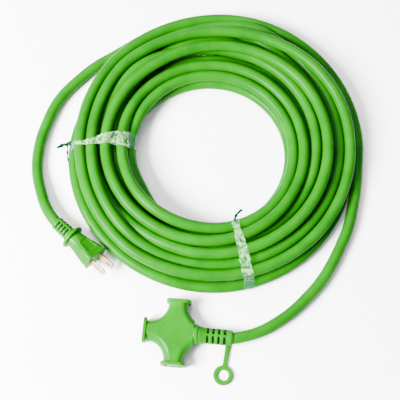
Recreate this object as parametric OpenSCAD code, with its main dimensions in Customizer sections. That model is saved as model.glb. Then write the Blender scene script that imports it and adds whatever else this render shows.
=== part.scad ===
/* [Cord] */
// Diameter of the round cord
cord_d = 11; // [10.6:0.1:11.1]
// Inside radius of the coil
coil_inner_r = 75; // [73:1:78]
// Outside radius of the coil
coil_outer_r = 146; // [143:1:147]
// Height of the stacked turns
coil_h = 29.5; // [27:0.5:32]
// Centre of the coil to the right of the tap
coil_x = 18; // [14:1:20]
// Centre of the coil behind the tap
coil_y = 190; // [189:1:194]

/* [Tap] */
// Distance from the middle of the tap to each outlet face
tap_reach = 31; // [30.5:0.1:32]
// Width of an outlet flange
flange_w = 23.4; // [22.8:0.1:24]
// Height of an outlet flange
flange_h = 19.6; // [19.6:0.1:20.4]
// Thickness of an outlet flange
flange_t = 3.1; // [2.8:0.1:3.4]
// Width of an arm beside its flange
arm_w = 18.8; // [18.8:0.1:19.6]
// Height of the tap body
body_h = 18.8; // [18.8:0.1:19.2]
// Concave radius between two arms
arm_fillet = 17.4; // [16.5:0.1:18]
// Width of the flat top at the end of an arm
crown_w = 4; // [3:0.5:5]
// Concave radius of the flat top's edge
crown_fillet = 25.3; // [24:0.1:26]
// Diameter of the disc on the cord side
disc_d = 19.4; // [18.6:0.1:19.6]
// Distance from the middle of the tap to the disc
disc_x = 16.5; // [16.5:0.1:17]
// Thickness of the disc
disc_t = 4; // [3.6:0.1:4.4]

/* [Outlets and blades] */
// Distance between the two blades or slots
pitch = 12.7; // [12.6:0.1:12.8]
// Width of a blade
blade_w = 6.35; // [6.2:0.05:6.4]
// Thickness of a blade
blade_t = 1.5; // [1.4:0.05:1.55]
// Length of a blade beyond the plug face
blade_l = 17.3; // [16:0.1:18]
// Diameter of the hole in a blade
blade_hole_d = 3.2; // [2.8:0.1:3.4]

/* [Strain reliefs] */
// Outside diameter of the tap's strain relief
tap_relief_d = 14.8; // [14:0.1:15.2]
// Outside diameter of the plug's strain relief at its thick end
plug_relief_d = 14.8; // [14:0.1:15.2]
// Outside diameter of the plug's strain relief at its thin end
plug_relief_tip_d = 13.2; // [13:0.1:13.8]
// Number of slots along a strain relief
slot_count = 4; // [3:1:4]
// Width of the webs that join the ribs
web_w = 2.6; // [2:0.1:3]

/* [Plug] */
// Length from the plug's flange to its face
plug_l = 33; // [32:0.5:34]
// Width of the plug's face
plug_w = 24.4; // [23.5:0.1:24.6]
// Height of the plug's face
plug_h = 17; // [16.5:0.1:17.2]
// Diameter of the plug's round flange
plug_flange_d = 24.4; // [23:0.1:25]
// Width of the waist beside the flange
plug_waist = 17.6; // [17:0.1:18]
// How far the plug has rolled about its own axis
plug_roll = -33; // [-35:1:-28]

/* [Hanging ring] */
// Outside diameter of the ring
ring_d = 18.8; // [18:0.1:19]
// Diameter of the hole in the ring
ring_hole_d = 9.8; // [9:0.1:10]
// Thickness of the ring and strap
ring_t = 2.8; // [2.4:0.1:3]
// Width of the strap
strap_w = 4.4; // [4:0.1:4.6]
// Distance from the cord's axis to the middle of the ring
ring_reach = 34; // [33:0.5:34]

/* [Film ties] */
// Thickness of the wrapped film
film_t = 0.4; // [0.3:0.05:0.4]
// Width of the left tie, in degrees of the coil
left_tie_angle = 8; // [6:1:9]
// Width of the front tie, in degrees of the coil
front_tie_angle = 5; // [4:1:6]

/* [Hidden] */

$fn = 48;
// Gap between pieces that lie inside one another
gap = 0.1;
// Small overrun of a cut
over = 1;

// Height of the tap's axis above the surface
axis_z = flange_h / 2;
// Middle height of the tap body
body_mid = body_h / 2;
// Corner radius of an outlet flange
flange_r = 6.5;
// Outlet directions as turns of the left outlet
LEFT = 0;
FRONT = 90;
BACK = -90;

// Wall of the soft body around the hard core
core_wall = 1;
// Distance from the middle to the end of a core arm
core_reach = 27.5;
// End of the core on the cord side
core_x = 14.5;
// Half height of the core
core_half_h = 6.2;
// Outlet face insert
face_w = 17.4;
face_h = 11.6;
face_recess = 0.4;
// Slot in an outlet face
slot_w = 2;
slot_h = 7;

// Contact spring
contact_in = 12;
contact_out = 23;
leaf_t = 0.5;
leaf_gap = blade_t + 0.1;
contact_half_h = 3.3;
web_t = 0.4;
// Busbar
bar_t = 0.6;
bar_low = contact_half_h + web_t;
bar_half = 8;
bar_in = 4.9;
bar_out = 7.2;
rivet_d = 1.6;
rivet_at = 17.5;

// Conductors
lead_y = 2.2;
wire_d = 3.4;
copper_d = 1.9;
barrel_d = 3.2;
barrel_bore_d = 2;
barrel_l = 4;
// End of the sheath inside the tap
sheath_x = 19;

// Strain relief of the tap
relief_x = disc_x + disc_t;
neck_l = 7.5;
neck_d = 17.6;
relief_end = 47.3;
tap_slot_w = 2.1;
tap_slot_first = 29.8;
tap_slot_pitch = 5.3;
// Sleeve of the strain relief under the ring's collar
spigot_d = 12.6;
spigot_end = 52.4;
lip_d = 13.6;
lip_t = 0.7;
exit_x = spigot_end + lip_t;
sleeve_d = 12.1;
relief_bore_d = cord_d + 0.1;

// Collar of the hanging ring
collar_d = 14.8;
collar_bore_d = spigot_d + 0.1;
collar_x = relief_end + 0.1;
collar_w = 4.9;
ring_x = 47.4;
ring_low = 0.2;
bevel = 0.5;

// Place of the plug: middle of its flange's back, and its turn about Z
plug_x = -110;
plug_y = 83;
plug_z = 12.8;
plug_turn = -36.87;
plug_flange_t = 3;
plug_relief_l = 20;
plug_slot_w = 1.6;
plug_slot_first = 4.6;
plug_slot_pitch = 3.75;
plug_sheath_x = 6;
bridge_x = 19;
bridge_l = 11;
bridge_w = 18;
bridge_h = 10;
plug_barrel_x = 12;
plug_web_x = 16.4;
blade_hole_at = 11.4;

// Height of the coil above the surface, for the film that passes under it
lift = film_t;
coil_bottom_r = 5;
coil_top_r = 9;
left_tie_at = 188.5;
front_tie_at = -71.3;
twist_d = 3.2;

// Cord from the tap to the coil
tap_route = [[sheath_x, 0, axis_z], [36, 0, axis_z], [exit_x, 0, axis_z],
    [64, 3, 9], [78, 9, 6.8], [93, 19, 5.8], [107, 31, 5.6], [121, 47, 5.6],
    [132, 62, 5.6], [142, 81, 5.6], [150, 101, 5.6], [155, 118, 5.6], [158, 134, 5.6]];
// Cord from the coil to the plug
plug_route = concat([[-96, 279, 5.6], [-108, 270, 5.6], [-126, 251, 5.6],
    [-143, 227, 5.6], [-152, 200, 5.6], [-156, 173, 5.6], [-154, 148, 6.2], [-147, 127, 8.5],
    [-138, 109, 11]],
    [for (s = [-plug_relief_l, -10, plug_sheath_x]) plug_point(s)]);

// Point on the plug's axis at distance s from its flange
function plug_point(s) = [plug_x + s * cos(plug_turn), plug_y + s * sin(plug_turn), plug_z];

function unit(v) = v / norm(v);

// Direction of a route at one of its points
function heading(route, i) =
    unit(route[min(i + 1, len(route) - 1)] - route[max(i - 1, 0)]);

// Ring of a tube around one point of its route
function tube_ring(p, dir, r, sides) =
    let (side = unit(cross(dir, [0, 0, 1])), up = cross(side, dir))
    [for (k = [0:sides - 1]) p + r * (cos(360 * k / sides) * side + sin(360 * k / sides) * up)];

function middle(ring) = [for (p = ring) 1 / len(ring)] * ring;

// Closed solid through rings with equal numbers of points, its ends closed by fans about their middles
module skin(rings) {
    n = len(rings[0]);
    last = len(rings) - 1;
    points = concat([for (ring = rings) each ring], [middle(rings[0]), middle(rings[last])]);
    start_mid = (last + 1) * n;
    end_mid = start_mid + 1;
    sides = [for (i = [0:last - 1], j = [0:n - 1])
        [i * n + j, (i + 1) * n + j, (i + 1) * n + (j + 1) % n, i * n + (j + 1) % n]];
    start = [for (j = [0:n - 1]) [start_mid, j, (j + 1) % n]];
    end = [for (j = [0:n - 1]) [end_mid, last * n + (j + 1) % n, last * n + j]];
    polyhedron(points, concat(start, sides, end), convexity = 6);
}

// Tube along a route
module tube(route, d) {
    skin([for (i = [0:len(route) - 1]) tube_ring(route[i], heading(route, i), d / 2, 10)]);
}

// Cylinder along +X from x, centred on y = 0, z = 0
module rod(x, l, d1, d2) {
    translate([x, 0, 0]) rotate([0, 90, 0]) cylinder(h = l, d1 = d1, d2 = d2);
}

// Plate with rounded corners, standing across X from x
module rounded_plate(x, t, w, h, r) {
    translate([x, -w / 2 + r, -h / 2]) cube([t, w - 2 * r, h]);
    translate([x, -w / 2, -h / 2 + r]) cube([t, w, h - 2 * r]);
    for (sy = [-1, 1], sz = [-1, 1])
        translate([x, sy * (w / 2 - r), sz * (h / 2 - r)]) rotate([0, 90, 0]) cylinder(h = t, r = r);
}

// Outline of four arms with concave corners at one height
function cross_ring(half, fillet, reach, z) = [for (q = [0:3], p = concat([[reach, half]],
    [for (a = [270:-11.25:180]) [half + fillet + fillet * cos(a), half + fillet + fillet * sin(a)]],
    [[half, reach]]))
    [p[0] * cos(90 * q) - p[1] * sin(90 * q), p[0] * sin(90 * q) + p[1] * cos(90 * q), z]];

// Four-armed body, arched from a flat top to a flat bottom, smaller all round by inset
module cross_body(inset, reach, half_h) {
    limit = asin(half_h / body_mid);
    skin([for (k = [-6:6])
        let (a = limit * k / 6, side = crown_w / 2 + (arm_w - crown_w) / 2 * cos(a),
            fillet = crown_fillet + (arm_fillet - crown_fillet) * cos(a))
        cross_ring(side - inset, fillet + inset, reach, body_mid + body_mid * sin(a))]);
}

// Children in the frame of an outlet that faces -X, at the tap's axis height
module at_outlet(turn) {
    translate([0, 0, axis_z]) rotate([0, 0, turn]) children();
}

// Hollow that holds the core, with its face inserts and the leads
module core_space() {
    intersection() {
        cross_body(core_wall - gap, core_reach + gap, core_half_h + gap);
        translate([-50, -50, -over]) cube([50 + core_x + gap, 100, body_h + 2 * over]);
    }
    for (turn = [LEFT, BACK, FRONT]) at_outlet(turn)
        rounded_plate(-tap_reach - over, tap_reach + over - core_reach, face_w + 2 * gap,
            face_h + 2 * gap, face_h / 2 - over);
    translate([0, 0, axis_z]) {
        for (s = [-1, 1]) translate([0, s * lead_y, 0])
            rod(core_x, sheath_x - core_x + gap, wire_d + 2 * gap, wire_d + 2 * gap);
        rod(sheath_x, over + relief_x - sheath_x, relief_bore_d, relief_bore_d);
    }
}

module tap_body() {
    color("limegreen") difference() {
        union() {
            intersection() {
                cross_body(0, tap_reach - flange_t + over, body_mid);
                translate([-50, -50, -over]) cube([50 + disc_x, 100, body_h + 2 * over]);
            }
            for (turn = [LEFT, BACK, FRONT]) at_outlet(turn)
                rounded_plate(-tap_reach, flange_t, flange_w, flange_h, flange_r);
            translate([0, 0, axis_z]) {
                rod(disc_x, disc_t / 2, disc_d - over, disc_d, $fn = 64);
                rod(disc_x + disc_t / 2, disc_t / 2, disc_d, disc_d - over, $fn = 64);
            }
        }
        core_space();
    }
}

// Hard insert with the two slots of one outlet
module outlet_face(turn) {
    color("forestgreen") at_outlet(turn) difference() {
        rounded_plate(-tap_reach + face_recess, tap_reach - core_reach - face_recess, face_w, face_h,
            face_h / 2 - over);
        for (s = [-1, 1])
            translate([-tap_reach, s * pitch / 2 - slot_w / 2, -slot_h / 2])
                cube([tap_reach, slot_w, slot_h]);
    }
}
module outlet_face_left() { outlet_face(LEFT); }
module outlet_face_back() { outlet_face(BACK); }
module outlet_face_front() { outlet_face(FRONT); }

// Pockets in the core for contacts, busbars and crimp barrels
module core_pockets() {
    pocket_w = leaf_gap + 2 * leaf_t + 2 * gap;
    for (turn = [LEFT, BACK, FRONT], s = [-1, 1]) at_outlet(turn) {
        translate([-contact_out - gap, s * pitch / 2 - pocket_w / 2, -bar_low])
            cube([contact_out - contact_in + 2 * gap, pocket_w, 2 * bar_low]);
        translate([-core_reach - over, s * pitch / 2 - slot_w / 2, -slot_h / 2])
            cube([core_reach + over - contact_out, slot_w, slot_h]);
    }
    for (s = [-1, 1]) busbar_shape(s, gap);
    translate([bar_half, -lead_y - barrel_d / 2 - gap, axis_z - bar_low - bar_t - gap])
        cube([core_x + over - bar_half, 2 * lead_y + barrel_d + 2 * gap, 2 * (bar_low + bar_t + gap)]);
}

// One half of the core, above or below the tap's axis
module core_half(side) {
    difference() {
        intersection() {
            cross_body(core_wall, core_reach, core_half_h);
            translate([-50, -50, side > 0 ? axis_z : axis_z - body_h]) cube([50 + core_x, 100, body_h]);
        }
        core_pockets();
    }
}
module core_base() { color("ivory") core_half(-1); }
module core_lid() { color("ivory") core_half(1); }

// Flat of a busbar: side 1 is the upper one, -1 the lower one, grown all round by grow
module busbar_shape(side, grow) {
    low = side > 0 ? axis_z + bar_low : axis_z - bar_low - bar_t;
    translate([0, 0, low - grow]) {
        h = bar_t + 2 * grow;
        translate([-bar_half - grow, -bar_half - grow, 0])
            cube([2 * (bar_half + grow), 2 * (bar_half + grow), h]);
        for (turn = [LEFT, BACK, FRONT]) rotate([0, 0, turn])
            translate([-contact_out + over - grow, side > 0 ? bar_in - grow : -bar_out - grow, 0])
                cube([contact_out - over, bar_out - bar_in + 2 * grow, h]);
    }
}

// Busbar with its crimp barrel, whose leads lie at y = side * lead_y
module busbar(side) {
    barrel_x = core_x - barrel_l;
    barrel_y = side * lead_y - barrel_d / 2;
    bar_bottom = axis_z - bar_low - bar_t;
    difference() {
        union() {
            busbar_shape(side, 0);
            translate([bar_half - over, barrel_y, side > 0 ? axis_z + bar_low : bar_bottom])
                cube([barrel_x + 2 * over - bar_half, barrel_d, bar_t]);
            translate([barrel_x, barrel_y, side > 0 ? axis_z : bar_bottom])
                cube([over, barrel_d, bar_low + bar_t]);
            translate([0, side * lead_y, axis_z]) rod(barrel_x, barrel_l, barrel_d, barrel_d);
        }
        translate([0, side * lead_y, axis_z])
            rod(barrel_x - over, barrel_l + 2 * over, barrel_bore_d, barrel_bore_d);
        for (turn = [LEFT, BACK, FRONT]) at_outlet(turn)
            translate([-rivet_at, side * pitch / 2, side > 0 ? 0 : -body_h])
                cylinder(h = body_h, d = rivet_d);
    }
}
module busbar_a() { color("goldenrod") busbar(1); }
module busbar_b() { color("goldenrod") busbar(-1); }

// Contact spring: two leaves joined by a web against its busbar
module contact(turn, side) {
    w = leaf_gap + 2 * leaf_t;
    web_z = side > 0 ? contact_half_h : -contact_half_h - web_t;
    slot_y = side * pitch / 2;
    color("gold") at_outlet(turn) difference() {
        union() {
            for (s = [-1, 1])
                translate([-contact_out, slot_y + s * (w - leaf_t) / 2 - leaf_t / 2, -contact_half_h])
                    cube([contact_out - contact_in, leaf_t, 2 * contact_half_h]);
            translate([-contact_out, slot_y - w / 2, web_z])
                cube([contact_out - contact_in, w, web_t]);
        }
        translate([-rivet_at, slot_y, -body_h]) cylinder(h = 2 * body_h, d = rivet_d);
    }
}
module contact_left_a() { contact(LEFT, 1); }
module contact_back_a() { contact(BACK, 1); }
module contact_front_a() { contact(FRONT, 1); }
module contact_left_b() { contact(LEFT, -1); }
module contact_back_b() { contact(BACK, -1); }
module contact_front_b() { contact(FRONT, -1); }

// Rivets that hold the contacts to their busbars
module contact_rivets() {
    color("goldenrod") for (turn = [LEFT, BACK, FRONT], s = [-1, 1]) at_outlet(turn)
        translate([-rivet_at, s * pitch / 2, 0]) mirror([0, 0, s > 0 ? 0 : 1])
            translate([0, 0, contact_half_h]) cylinder(h = web_t + bar_t, d = rivet_d);
}

// Tube with rows of slots that leave four webs
module ladder(x, l, d1, d2, first, step, width) {
    difference() {
        rod(x, l, d1, d2);
        for (k = [0:slot_count - 1]) difference() {
            rod(first + k * step - width / 2, width, 2 * d1, 2 * d1);
            rod(first + k * step - width, 2 * width, sleeve_d, sleeve_d);
            for (a = [0, 90]) rotate([a, 0, 0])
                translate([first + k * step - width, -d1, -web_w / 2]) cube([2 * width, 2 * d1, web_w]);
        }
    }
}

module tap_strain_relief() {
    color("limegreen") translate([0, 0, axis_z]) difference() {
        union() {
            rod(relief_x, neck_l, neck_d, tap_relief_d);
            ladder(relief_x + neck_l, relief_end - relief_x - neck_l, tap_relief_d, tap_relief_d,
                tap_slot_first, tap_slot_pitch, tap_slot_w);
            rod(relief_end, spigot_end - relief_end, spigot_d, spigot_d);
            rod(spigot_end, lip_t, lip_d, lip_d);
        }
        rod(relief_x - over, exit_x - relief_x + 2 * over, relief_bore_d, relief_bore_d);
    }
}

module hanging_ring() {
    collar_mid = collar_x + collar_w / 2;
    lean = atan((collar_mid - ring_x) / ring_reach);
    strap_l = ring_reach - (ring_d + ring_hole_d) / 4;
    edge_d = ring_d - 2 * bevel;
    color("limegreen") {
        translate([0, 0, axis_z]) difference() {
            rod(collar_x, collar_w, collar_d, collar_d);
            rod(collar_x - over, collar_w + 2 * over, collar_bore_d, collar_bore_d);
        }
        difference() {
            translate([collar_mid, 0, ring_low]) rotate([0, 0, -lean])
                translate([-strap_w / 2, -strap_l, 0]) cube([strap_w, strap_l, ring_t]);
            translate([0, 0, axis_z])
                rod(collar_x - over, collar_w + 2 * over, collar_bore_d, collar_bore_d);
        }
        translate([ring_x, -ring_reach, ring_low]) difference() {
            union() {
                cylinder(h = bevel, d1 = edge_d, d2 = ring_d, $fn = 64);
                translate([0, 0, bevel]) cylinder(h = ring_t - 2 * bevel, d = ring_d, $fn = 64);
                translate([0, 0, ring_t - bevel]) cylinder(h = bevel, d1 = ring_d, d2 = edge_d, $fn = 64);
            }
            translate([0, 0, -over]) cylinder(h = ring_t + 2 * over, d = ring_hole_d, $fn = 64);
        }
    }
}

// Insulation of one conductor, from the sheath's end at x towards a crimp barrel
module wire(x, l) {
    difference() {
        rod(x, l, wire_d, wire_d);
        rod(x - over, l + 2 * over, copper_d, copper_d);
    }
}
module tap_wire_black() {
    color("black") translate([0, lead_y, axis_z]) wire(core_x + gap, sheath_x - core_x - gap);
}
module tap_wire_white() {
    color("white") translate([0, -lead_y, axis_z]) wire(core_x + gap, sheath_x - core_x - gap);
}

// Copper of one conductor, from x to the sheath's end and into its crimp barrel
module copper(x, l) {
    color("peru") rod(x, l, copper_d, copper_d);
}
module tap_copper(y) {
    translate([0, y, axis_z]) copper(core_x - barrel_l, sheath_x - core_x + barrel_l);
}
module tap_copper_black() { tap_copper(lead_y); }
module tap_copper_white() { tap_copper(-lead_y); }

module cord_tap_tail() { color("green") tube(tap_route, cord_d); }
module cord_plug_tail() { color("green") tube(plug_route, cord_d); }

// Section of the coil, grown all round by grow
module coil_section(grow) {
    low_r = coil_bottom_r + grow;
    top_r = coil_top_r + grow;
    x1 = coil_inner_r - grow;
    x2 = coil_outer_r + grow;
    z1 = lift - grow;
    z2 = lift + coil_h + grow;
    translate([x1, z1 + low_r]) square([x2 - x1, z2 - z1 - low_r - top_r]);
    translate([x1 + low_r, z1]) square([x2 - x1 - 2 * low_r, z2 - z1 - top_r]);
    translate([x1 + top_r, z2 - 2 * top_r]) square([x2 - x1 - 2 * top_r, 2 * top_r]);
    for (x = [x1 + low_r, x2 - low_r]) translate([x, z1 + low_r]) circle(r = low_r);
    for (x = [x1 + top_r, x2 - top_r]) translate([x, z2 - top_r]) circle(r = top_r);
}

module cord_coil() {
    color("green") translate([coil_x, coil_y, 0]) rotate_extrude($fn = 96) coil_section(0);
}

// Film wrapped once round the coil, with its ends twisted together at radius twist_r
module film_tie(at, width, twist_r, twist_l, twist_tilt) {
    translate([coil_x, coil_y, 0]) rotate([0, 0, at]) {
        rotate([0, 0, -width / 2]) rotate_extrude(angle = width, $fn = 96) difference() {
            coil_section(film_t);
            coil_section(0);
        }
        translate([twist_r, 0, lift + coil_h / 2]) rotate([0, twist_tilt, 0])
            cylinder(h = twist_l, d1 = twist_d, d2 = twist_d / 2);
    }
}
module film_tie_left() {
    color("honeydew") film_tie(left_tie_at, left_tie_angle, coil_outer_r + film_t / 2, 9, 60);
}
module film_tie_front() {
    color("honeydew") film_tie(front_tie_at, front_tie_angle, coil_inner_r - film_t / 2, 14, -50);
}

// Children in the plug's frame: +X along the blades from the flange's back
module in_plug() {
    translate([plug_x, plug_y, plug_z]) rotate([0, 0, plug_turn]) rotate([plug_roll, 0, 0]) children();
}

// Rounded rectangle ring across the plug's axis
function plug_ring(x, w, h, r) =
    [for (c = [[1, 1, 0], [-1, 1, 90], [-1, -1, 180], [1, -1, 270]], a = [0:22.5:90])
        [x, c[0] * (w / 2 - r) + r * cos(c[2] + a), c[1] * (h / 2 - r) + r * sin(c[2] + a)]];

// Width, height and corner radius of the plug body along its axis
plug_sections = [
    [plug_flange_t - over, plug_waist, plug_waist - 1, 8.2],
    [7, plug_waist, plug_waist - 1, 7.8],
    [13, plug_waist + 1, plug_h - 1.2, 6.2],
    [20, plug_w - 3.4, plug_h - 1.2, 4.6],
    [27, plug_w - 1.8, plug_h - 1, 3.6],
    [plug_l - 2, plug_w - 1.6, plug_h - 1, 3.2],
    [plug_l - 1.2, plug_w, plug_h, 3],
    [plug_l, plug_w, plug_h, 3]];

// One blade with its root, cross tab and crimp barrel; side is 1 or -1
module blade(side) {
    tip_x = plug_l + blade_l - blade_w / 2;
    blade_far_y = pitch / 2 + blade_t / 2;
    difference() {
        union() {
            translate([plug_web_x, side * pitch / 2 - blade_t / 2, -blade_w / 2])
                cube([tip_x - plug_web_x, blade_t, blade_w]);
            translate([tip_x, side * pitch / 2 + blade_t / 2, 0]) rotate([90, 0, 0])
                cylinder(h = blade_t, d = blade_w);
            translate([plug_web_x, side > 0 ? lead_y - barrel_d / 2 : -blade_far_y, -blade_w / 2])
                cube([bar_t, blade_far_y - lead_y + barrel_d / 2, blade_w]);
            translate([0, side * lead_y, 0])
                rod(plug_barrel_x, plug_web_x - plug_barrel_x + bar_t, barrel_d, barrel_d);
        }
        translate([0, side * lead_y, 0])
            rod(plug_barrel_x - over, plug_web_x - plug_barrel_x + 2 * over, barrel_bore_d, barrel_bore_d);
        translate([plug_l + blade_hole_at, side * pitch / 2 + over, 0]) rotate([90, 0, 0])
            cylinder(h = 2 * over, d = blade_hole_d);
    }
}
module blade_a() { color("gold") in_plug() blade(1); }
module blade_b() { color("gold") in_plug() blade(-1); }

// Space taken up by the blades, grown all round by grow
module blade_space(grow) {
    for (s = [-1, 1])
        translate([plug_web_x - grow, s * pitch / 2 - blade_t / 2 - grow, -blade_w / 2 - grow])
            cube([plug_l + 2 * over, blade_t + 2 * grow, blade_w + 2 * grow]);
}

module plug_bridge() {
    color("ivory") in_plug() difference() {
        translate([bridge_x, -bridge_w / 2, -bridge_h / 2]) cube([bridge_l, bridge_w, bridge_h]);
        blade_space(gap / 2);
    }
}

module plug_body() {
    color("limegreen") in_plug() difference() {
        union() {
            rod(0, plug_flange_t / 2, plug_flange_d - over, plug_flange_d, $fn = 64);
            rod(plug_flange_t / 2, plug_flange_t / 2, plug_flange_d, plug_flange_d - over, $fn = 64);
            skin([for (s = plug_sections) plug_ring(s[0], s[1], s[2], s[3])]);
        }
        rod(-over, plug_sheath_x + over + gap, relief_bore_d, relief_bore_d);
        for (s = [-1, 1]) translate([0, s * lead_y, 0])
            rod(plug_sheath_x, plug_barrel_x - plug_sheath_x, wire_d + 2 * gap, wire_d + 2 * gap);
        translate([plug_barrel_x - gap, -pitch / 2 - blade_t / 2 - gap, -blade_w / 2 - gap])
            cube([bridge_x - plug_barrel_x + 2 * gap, pitch + blade_t + 2 * gap, blade_w + 2 * gap]);
        translate([bridge_x - gap, -bridge_w / 2 - gap, -bridge_h / 2 - gap])
            cube([bridge_l + 2 * gap, bridge_w + 2 * gap, bridge_h + 2 * gap]);
        blade_space(gap / 2);
    }
}

module plug_strain_relief() {
    color("limegreen") in_plug() difference() {
        mirror([1, 0, 0]) ladder(0, plug_relief_l, plug_relief_d, plug_relief_tip_d,
            plug_slot_first, plug_slot_pitch, plug_slot_w);
        rod(-plug_relief_l - over, plug_relief_l + 2 * over, relief_bore_d, relief_bore_d);
    }
}

module plug_wire(y) {
    in_plug() translate([0, y, 0]) wire(plug_sheath_x, plug_barrel_x - gap - plug_sheath_x);
}
module plug_wire_black() { color("black") plug_wire(lead_y); }
module plug_wire_white() { color("white") plug_wire(-lead_y); }

module plug_copper(y) {
    in_plug() translate([0, y, 0]) copper(plug_sheath_x, plug_web_x - plug_sheath_x);
}
module plug_copper_black() { plug_copper(lead_y); }
module plug_copper_white() { plug_copper(-lead_y); }

tap_body();
outlet_face_left();
outlet_face_back();
outlet_face_front();
core_base();
core_lid();
busbar_a();
busbar_b();
contact_left_a();
contact_back_a();
contact_front_a();
contact_left_b();
contact_back_b();
contact_front_b();
contact_rivets();
tap_strain_relief();
hanging_ring();
tap_wire_black();
tap_wire_white();
tap_copper_black();
tap_copper_white();
cord_tap_tail();
cord_coil();
cord_plug_tail();
plug_body();
plug_bridge();
blade_a();
blade_b();
plug_strain_relief();
plug_wire_black();
plug_wire_white();
plug_copper_black();
plug_copper_white();
film_tie_left();
film_tie_front();
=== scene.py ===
import math

import bmesh
import bpy
import numpy as np
from mathutils import Matrix, Vector


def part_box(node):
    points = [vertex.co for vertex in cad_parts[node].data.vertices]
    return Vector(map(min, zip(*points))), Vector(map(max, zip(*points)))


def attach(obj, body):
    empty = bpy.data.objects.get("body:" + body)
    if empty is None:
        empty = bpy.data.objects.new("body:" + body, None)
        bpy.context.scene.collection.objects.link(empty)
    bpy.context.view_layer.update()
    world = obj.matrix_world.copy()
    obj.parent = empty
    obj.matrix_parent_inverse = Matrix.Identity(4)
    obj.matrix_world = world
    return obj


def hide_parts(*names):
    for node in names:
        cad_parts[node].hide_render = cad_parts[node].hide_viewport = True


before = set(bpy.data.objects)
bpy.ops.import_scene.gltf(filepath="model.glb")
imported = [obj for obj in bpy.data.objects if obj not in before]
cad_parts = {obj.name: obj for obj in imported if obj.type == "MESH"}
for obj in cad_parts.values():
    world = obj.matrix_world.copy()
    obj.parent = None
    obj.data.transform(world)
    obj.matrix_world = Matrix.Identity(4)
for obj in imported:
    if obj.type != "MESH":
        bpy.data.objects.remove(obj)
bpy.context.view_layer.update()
MM = 0.001

# --- Sizes of the cord and its coil, in metres unless a name ends in _MM -------------------------
TAP_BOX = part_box("tap_body")
RELIEF_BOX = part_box("tap_strain_relief")
AXIS_Z = (TAP_BOX[0][2] + TAP_BOX[1][2]) / 2        # height of the tap's axis
CORD_D = 0.011
CORD_R = CORD_D / 2
CORD_EXIT = (RELIEF_BOX[1][0], 0, AXIS_Z)
COIL_X, COIL_Y = 0.018, 0.190
FILM_T = 0.0004
STEPS = 48                      # places along one turn
SPACING = 1.01 * CORD_D         # least distance between two turns
LOWEST = CORD_R + FILM_T        # height of a turn that lies on the film
SINK = 0.00012                  # how far a turn sinks in each round of settling
PUSH = 0.45                     # share of an overlap that one round takes away
HOLD_SEEN = 0.12                # pull of a turn towards its radius in TURNS, in each round
HOLD_HIDDEN = 0.08
HOLD_LOW = 0.6
STIFF_SETTLING = 0.45           # how much one round straightens the cord
STIFF_AT_REST = 0.15
BORE_D_MM = 11.1                # hole for the cord in both strain reliefs
PITCH_MM = 12.7                 # distance between the blades
GAP_MM = 0.1                    # play round the parts inside the mouldings

# Radius of each turn in millimetres about the middle of the coil, at 0, 45, ... 315 degrees, from
# the tap's end of the cord to the plug's end. A later turn lies under an earlier one.
TURNS = [
    (144, 143.5, 133.5, 133, 131, 132, 134, 136),
    (134, 128.5, 116, 115.5, 119.5, 119.7, 122, 124),
    (124, 122.5, 124, 122.5, 120.5, 116, 113.8, 114.8),
    (112.3, 109, 100.5, 100.8, 108.3, 106.4, 105.3, 98.2),
    (88.6, 83.5, 84, 87, 90, 92.5, 92.5, 86.5),
    (78, 73, 71.5, 77, 86, 93, 99, 101),
    (103, 102, 103.5, 109, 113, 107, 111, 113),
    (112, 113, 122, 130, 132, 134, 133.7, 131),
    (124, 121.5, 115, 107, 99.5, 94.5, 90.5, 83.5),
    (76, 70, 68, 74.5, 89, 104.5, 102.5, 95.5),
    (88, 83, 81, 85.5, 100, 115.3, 113.6, 107),
    (100, 98, 97.2, 98, 112, 126, 125, 118),
    (111.5, 110, 109, 117, 141, 141.5, 142, 142),
    (133.5, 133, 136, 141.5),
]
KEYS = 8                        # places along a turn in TURNS
VISIBLE = 6                     # turns from the tap's end whose place can be seen
LOW_TURNS = 6                   # turns at the plug's end, which lie on the surface


def eased(keys, x):
    """Values at the places x on a smooth curve through keys."""
    i = np.clip(np.floor(x).astype(int), 0, len(keys) - 2)
    t = (x - i).reshape(-1, *[1] * (keys.ndim - 1))
    p0, p1, p2, p3 = (keys[np.clip(i + k, 0, len(keys) - 1)] for k in (-1, 0, 1, 2))
    cubic = t * (3 * (p1 - p2) + p3 - p0)
    return p1 + t / 2 * (p2 - p0 + t * (2 * p0 - 5 * p1 + 4 * p2 - p3 + cubic))


def resting_height(r, live):
    """Height of each place when the turns are laid one by one, from the plug's end upwards."""
    z = np.full(r.shape, LOWEST)
    for k in range(len(r) - 2, -1, -1):
        away = np.abs(r[k] - r[k + 1:])
        on_top = z[k + 1:] + np.sqrt(np.clip(CORD_D ** 2 - away ** 2, 0, None))
        touching = (away < CORD_D) & live[k + 1:]
        z[k] = np.maximum(LOWEST, np.where(touching, on_top, 0).max(0))
    return z


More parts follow.
